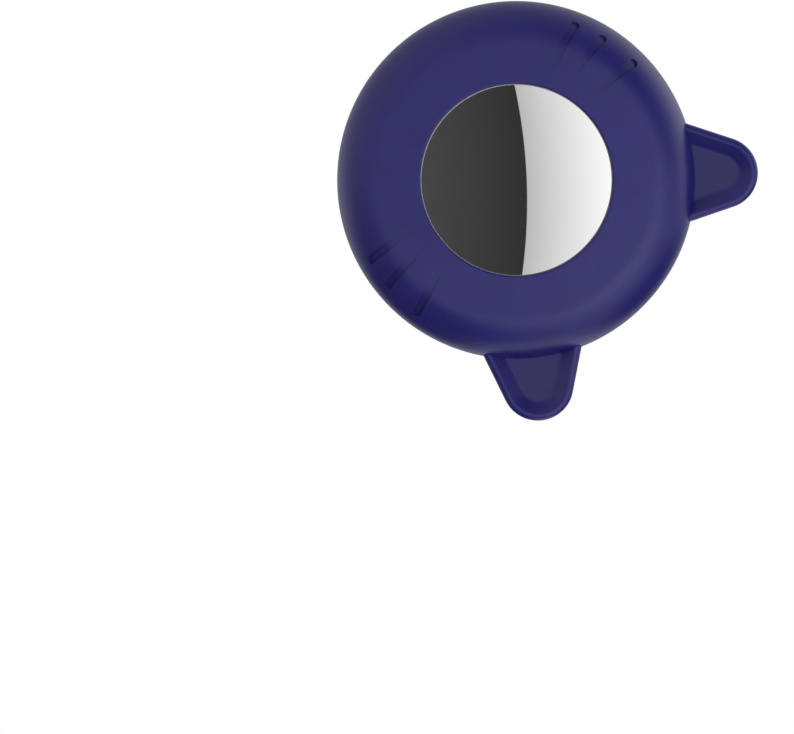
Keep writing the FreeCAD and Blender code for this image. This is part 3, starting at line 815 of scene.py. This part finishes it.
class HOLDER_OT_casing(bpy.types.Operator):
    """Finish the tag's casing: housing, tray and seal"""
    bl_idname = "tag_holder.casing"
    bl_label = "Tag Casing"

    def execute(self, context):
        dress(white_plastic(context.scene.holder_finish), "tag_housing", "battery_tray")
        dress(moulded("seal_rubber", (0.02, 0.02, 0.02), roughness=0.55, grain=0.15 * MM,
                      depth=0.004 * MM), "flange_seal")
        return {"FINISHED"}


def cover_tabs(tag, cover):
    """The bayonet tabs that stand out from the skirt."""
    mesh = bmesh.new()
    under = cover.tab_under
    top = under + cover.tab_thickness
    inner = (cover.skirt_inner + cover.skirt_outer) / 2
    outer = tag.cover_radius
    corners = ((inner, under), (outer, under), (outer, top), (inner, top))
    for tab in range(cover.tab_count):
        middle = math.radians(90) + 2 * math.pi * tab / cover.tab_count
        loops = []
        for step in range(TAB_STEPS + 1):
            a = middle + cover.tab_sweep * (step / TAB_STEPS - 0.5)
            loops.append([Vector((r * math.cos(a), r * math.sin(a), level)) for r, level in corners])
        loops_to_mesh(mesh, loops)
    return object_from(mesh, "cover_tabs")


def cover_outline(tag, cover):
    """Section from the middle of the underside, round the skirt, to the middle of the face."""
    face = Crown(tag.cover_radius, tag.cover_drop, 0, tag.cover_level, 1)

    def under(distance):
        return face.level(distance) - cover.thickness

    rim = tag.cover_radius
    inner = rim - 2 * cover.edge_round
    corners = [(cover.skirt_inner, under(cover.skirt_inner), 0), (cover.skirt_inner, cover.tab_under, 0),
               (cover.skirt_outer, cover.tab_under, 0), (cover.skirt_outer, under(cover.skirt_outer), 0),
               (rim, under(rim), 0), (rim, face.level(rim), cover.edge_round),
               (inner, face.level(inner), 0)]
    outwards = [cover.skirt_inner * step / UNDER_STEPS for step in range(UNDER_STEPS)]
    inwards = [inner * (1 - step / FACE_STEPS) for step in range(1, FACE_STEPS + 1)]
    outline = [(distance, under(distance)) for distance in outwards]
    outline += rounded(corners, CORNER_STEPS)
    return outline + [(distance, face.level(distance)) for distance in inwards]


class HOLDER_OT_cover(bpy.types.Operator):
    """Model the polished battery cover: a crowned face, a skirt and its bayonet tabs"""
    bl_idname = "tag_holder.cover"
    bl_label = "Battery Cover"

    def execute(self, context):
        scene = context.scene
        tag = scene.holder_tag
        cover = spun(cover_outline(tag, scene.holder_cover), SPIN_STEPS, "steel_cover")
        combine(cover, cover_tabs(tag, scene.holder_cover), "UNION")
        finish_mesh(cover, polished_steel(scene.holder_finish), STEEL_CREASE)
        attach(cover, "cover")
        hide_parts("battery_cover")
        return {"FINISHED"}


class HOLDER_OT_cell(bpy.types.Operator):
    """Finish the coin cell and the contacts that it sits between"""
    bl_idname = "tag_holder.cell"
    bl_label = "Coin Cell"

    def execute(self, context):
        dress(sheet_metal("cell_steel", (0.7, 0.69, 0.66), roughness=0.25, grain=0.08 * MM,
                          depth=0.002 * MM), "cell_can", "cell_cap")
        dress(moulded("gasket_plastic", (0.5, 0.5, 0.48), roughness=0.5, grain=0.2 * MM,
                      depth=0.003 * MM), "cell_gasket", "cell_separator")
        dress(moulded("cathode_mix", (0.03, 0.03, 0.032), roughness=0.85, grain=0.06 * MM,
                      depth=0.02 * MM), "cell_cathode")
        dress(sheet_metal("lithium", (0.62, 0.62, 0.65), roughness=0.4, grain=0.15 * MM,
                          depth=0.006 * MM), "cell_anode")
        dress(sheet_metal("contact_brass", (0.78, 0.58, 0.27), roughness=0.24, grain=0.06 * MM,
                          depth=0.002 * MM), "positive_contacts", "negative_contact")
        return {"FINISHED"}


class HOLDER_OT_electronics(bpy.types.Operator):
    """Finish the circuit board, what it carries, and the antenna foils"""
    bl_idname = "tag_holder.electronics"
    bl_label = "Electronics"

    def execute(self, context):
        colours = context.scene.holder_finish
        dress(board_laminate(colours), "logic_board")
        dress(moulded("chip_resin", (0.018, 0.018, 0.02), roughness=0.6, grain=0.05 * MM,
                      depth=0.004 * MM),
              "bluetooth_chip", "memory_chip", "motion_sensor", "sound_amplifier")
        dress(sheet_metal("shield_metal", (0.72, 0.72, 0.7), roughness=0.35, grain=0.1 * MM,
                          depth=0.003 * MM), "ranging_module", "board_crystals")
        dress(moulded("passive_ceramic", (0.3, 0.22, 0.14), roughness=0.5, grain=0.08 * MM,
                      depth=0.004 * MM), "board_passives")
        dress(windings(colours), "bluetooth_antenna", "ranging_antenna", "nfc_antenna", "voice_coil")
        return {"FINISHED"}


class HOLDER_OT_sounder(bpy.types.Operator):
    """Finish the sounder's yoke and magnet"""
    bl_idname = "tag_holder.sounder"
    bl_label = "Sounder"

    def execute(self, context):
        dress(sheet_metal("yoke_steel", (0.5, 0.5, 0.52), roughness=0.4, grain=0.1 * MM,
                          depth=0.003 * MM), "speaker_yoke")
        dress(sheet_metal("magnet_nickel", (0.66, 0.63, 0.58), roughness=0.22, grain=0.2 * MM,
                          depth=0.001 * MM), "speaker_magnet")
        return {"FINISHED"}


# How far the camera sees, in distances to the object
VIEW_DEPTH = 4
# Where the floor's fade starts and ends, in floor radii, its colour, and its glow for the camera
FLOOR_FADE = (0.3, 0.9)
FLOOR_COLOUR = (0.86, 0.86, 0.86)
FLOOR_GLOW = 0.25
# How the bright panel's edge leans and bows with the height, and its blur
PANEL_LEAN = -0.0364
PANEL_BOW = -1.09
PANEL_BLUR = 0.0003
# What panel and dark card gain with the distance from that edge, and have at the edge
PANEL_LIGHT = (6.9, 0.51)
CARD_LIGHT = (-0.36, 0.032)
CARD_LEAST = 0.03
# Cosines off the viewer's axis between which reflections go over from the room to panel and card
MIRROR_CONE = (0.985, 0.993)
# Light of the room, what it loses behind the object, and the cosines between which it does
ROOM_LIGHT = 0.6
ROOM_LOSS = -0.06
ROOM_TURN = (0.5, -0.2)
# Panels and dark cards round the object: angle off the viewer's axis, clock angle, sharpness, strength
GLOWS = ((26, 45, 7, 1.3), (14, 40, 8, 0.15), (46, -42, 5, -0.8), (48, 115, 7, -0.5),
         (66, 129, 7, -1.0), (92, 0, 9, 0.8), (118, -25, 7, 0.95), (108, 85, 7, 1.6),
         (90, 126, 13, -2.4), (113, 126, 14, -2.0), (105, 41, 9, -1.5), (118, 163, 10, 0.55))
# The side that the even fill leans to, in the same measures
LEAN = (80, -172, 4, 0.9)


def picture_axes(stage):
    """The picture's right, up and viewer directions as the camera holds them."""
    roll = stage.view_roll
    right = Vector((math.cos(roll), 0, math.sin(roll)))
    up = Vector((-math.sin(roll), 0, math.cos(roll)))
    return right, up, Vector((0, -1, 0))


def add_camera(stage, body):
    """A long lens at floor level, turned so that the ears lie as in the photograph."""
    data = bpy.data.cameras.new("camera")
    camera = bpy.data.objects.new("camera", data)
    bpy.context.scene.collection.objects.link(camera)
    data.lens = data.sensor_width * stage.view_distance / stage.view_width
    data.clip_end = VIEW_DEPTH * stage.view_distance
    aim = Vector((stage.view_centre_x, -body.back_level - body.back_half, stage.view_centre_z))
    place = Vector((aim.x, aim.y - stage.view_distance, cad_box[0].z))
    viewer = (place - aim).normalized()
    right = picture_axes(stage)[0]
    right = (right - viewer * right.dot(viewer)).normalized()
    turn = Matrix((right, viewer.cross(right), viewer)).transposed().to_4x4()
    camera.matrix_world = Matrix.Translation(place) @ turn
    bpy.context.scene.camera = camera


def add_floor(stage):
    """A pale round floor under the object, which fades out into the white round it."""
    mesh = bmesh.new()
    bmesh.ops.create_circle(mesh, cap_ends=True, segments=FLOOR_STEPS, radius=stage.floor_radius)
    floor = object_from(mesh, "floor")
    floor.location.z = cad_box[0].z
    material = bpy.data.materials.new("floor")
    nodes = Nodes(material, "Object")
    seen = nodes.add("ShaderNodeLightPath")["Is Camera Ray"]
    matt = nodes.add("ShaderNodeBsdfDiffuse", {"Color": FLOOR_COLOUR})["BSDF"]
    glow = nodes.add("ShaderNodeEmission", {"Strength": nodes.math("MULTIPLY", seen, FLOOR_GLOW)})
    lit = nodes.add("ShaderNodeAddShader", {0: matt, 1: glow["Emission"]})["Shader"]
    clear = nodes.add("ShaderNodeBsdfTransparent")["BSDF"]
    start, end = (part * stage.floor_radius for part in FLOOR_FADE)
    faded = nodes.step(nodes.measured("LENGTH", nodes.place), start, end)
    gone = nodes.math("MAXIMUM", faded, nodes.math("SUBTRACT", 1, seen))
    shown = nodes.add("ShaderNodeMixShader", {"Fac": gone, 1: lit, 2: clear})["Shader"]
    nodes.add("ShaderNodeOutputMaterial", {"Surface": shown})
    floor.data.materials.append(material)


def add_lamp(name, place, size, power):
    """A soft square lamp that faces the object and stays out of its reflections."""
    data = bpy.data.lights.new(name, "AREA")
    data.size = size
    data.energy = power
    lamp = bpy.data.objects.new(name, data)
    bpy.context.scene.collection.objects.link(lamp)
    lamp.location = place
    lamp.rotation_euler = (-place).to_track_quat("-Z", "Y").to_euler()
    lamp.visible_glossy = False


def add_studio(stage):
    """White for the camera, even fill for the object, and cards and panels for what reflects."""
    world = bpy.data.worlds.new("studio")
    bpy.context.scene.world = world
    nodes = Nodes(world, "Generated")
    total = nodes.math
    right, up, viewer = picture_axes(stage)

    def towards(axis):
        """How far the direction looked in points along an axis."""
        return nodes.measured("DOT_PRODUCT", nodes.place, axis)

    def glow(off_axis, clock, sharpness, strength):
        """A soft glow: angle off the viewer's axis, then clock angle down from the picture's right."""
        tilt = math.radians(off_axis)
        spin = math.radians(clock)
        sideways = right * math.cos(spin) - up * math.sin(spin)
        axis = (viewer * math.cos(tilt) + sideways * math.sin(tilt)).normalized()
        falloff = total("MULTIPLY_ADD", towards(axis), sharpness, -sharpness)
        return total("MULTIPLY", total("EXPONENT", falloff), strength)

    def either(choice, first, second):
        """One light where the choice is one, and another where it is nothing."""
        rest = total("MULTIPLY", second, total("SUBTRACT", 1.0, choice))
        return total("ADD", total("MULTIPLY", first, choice), rest)

    rising = towards(up)
    ahead = towards(viewer)
    edge = total("MULTIPLY_ADD", rising, PANEL_LEAN, stage.panel_edge)
    edge = total("MULTIPLY_ADD", total("MULTIPLY", rising, rising), PANEL_BOW, edge)
    beyond = total("SUBTRACT", towards(right), edge)
    panel = total("MINIMUM", total("MULTIPLY_ADD", beyond, *PANEL_LIGHT), 1.0)
    card = total("MAXIMUM", total("MULTIPLY_ADD", beyond, *CARD_LIGHT), CARD_LEAST)
    mirrored = either(nodes.step(beyond, -PANEL_BLUR, PANEL_BLUR), panel, card)
    room = total("MULTIPLY_ADD", nodes.step(ahead, *ROOM_TURN), ROOM_LOSS, ROOM_LIGHT)
    for settings in GLOWS:
        room = total("ADD", room, glow(*settings))
    reflected = either(nodes.step(ahead, *MIRROR_CONE), mirrored, total("MAXIMUM", room, 0.0))
    path = nodes.add("ShaderNodeLightPath")
    seen = total("MAXIMUM", path["Is Camera Ray"], path["Is Transmission Ray"])
    glossy = path["Is Glossy Ray"]
    even = total("ADD", glow(*LEAN), stage.fill)
    plain = total("MULTIPLY", total("SUBTRACT", 1.0, glossy), even)
    strength = total("MAXIMUM", total("MULTIPLY_ADD", glossy, reflected, plain), seen)
    background = nodes.add("ShaderNodeBackground", {"Color": (1, 1, 1), "Strength": strength})
    nodes.add("ShaderNodeOutputWorld", {"Surface": background["Background"]})


class HOLDER_OT_stage(bpy.types.Operator):
    """Set the camera, the lamps, the surroundings and the floor"""
    bl_idname = "tag_holder.stage"
    bl_label = "Stage"

    def execute(self, context):
        scene = context.scene
        stage = scene.holder_stage
        scene.view_settings.view_transform = "Standard"
        add_camera(stage, scene.holder_body)
        add_floor(stage)
        add_studio(stage)
        x, y, z = stage.key_place
        add_lamp("key", Vector((x, y, z)), stage.key_size, stage.key)
        add_lamp("back_key", Vector((-x, -y, z)), stage.key_size, stage.key)
        return {"FINISHED"}


OPERATORS = (HOLDER_OT_silicone, HOLDER_OT_casing, HOLDER_OT_cover, HOLDER_OT_cell, HOLDER_OT_electronics,
             HOLDER_OT_sounder, HOLDER_OT_stage)


class HOLDER_PT_panel(bpy.types.Panel):
    """Sidebar panel that lists the pieces and their sizes"""
    bl_idname = "HOLDER_PT_panel"
    bl_label = "Tag Holder"
    bl_space_type = "VIEW_3D"
    bl_region_type = "UI"
    bl_category = "Tag Holder"

    def draw(self, context):
        for operator in OPERATORS:
            self.layout.operator(operator.bl_idname)
        for name in GROUPS:
            settings = getattr(context.scene, name)
            column = self.layout.column(heading=name.replace("_", " ").title())
            for setting in settings.__annotations__:
                column.prop(settings, setting)


CLASSES = (*GROUPS.values(), *OPERATORS, HOLDER_PT_panel)


def register():
    for cls in CLASSES:
        bpy.utils.register_class(cls)
    for name, group in GROUPS.items():
        setattr(bpy.types.Scene, name, bpy.props.PointerProperty(type=group))


def unregister():
    for name in GROUPS:
        delattr(bpy.types.Scene, name)
    for cls in reversed(CLASSES):
        bpy.utils.unregister_class(cls)


def main():
    register()
    for operator in OPERATORS:
        group, name = operator.bl_idname.split(".")
        getattr(getattr(bpy.ops, group), name)()


if __name__ == "__main__":
    main()
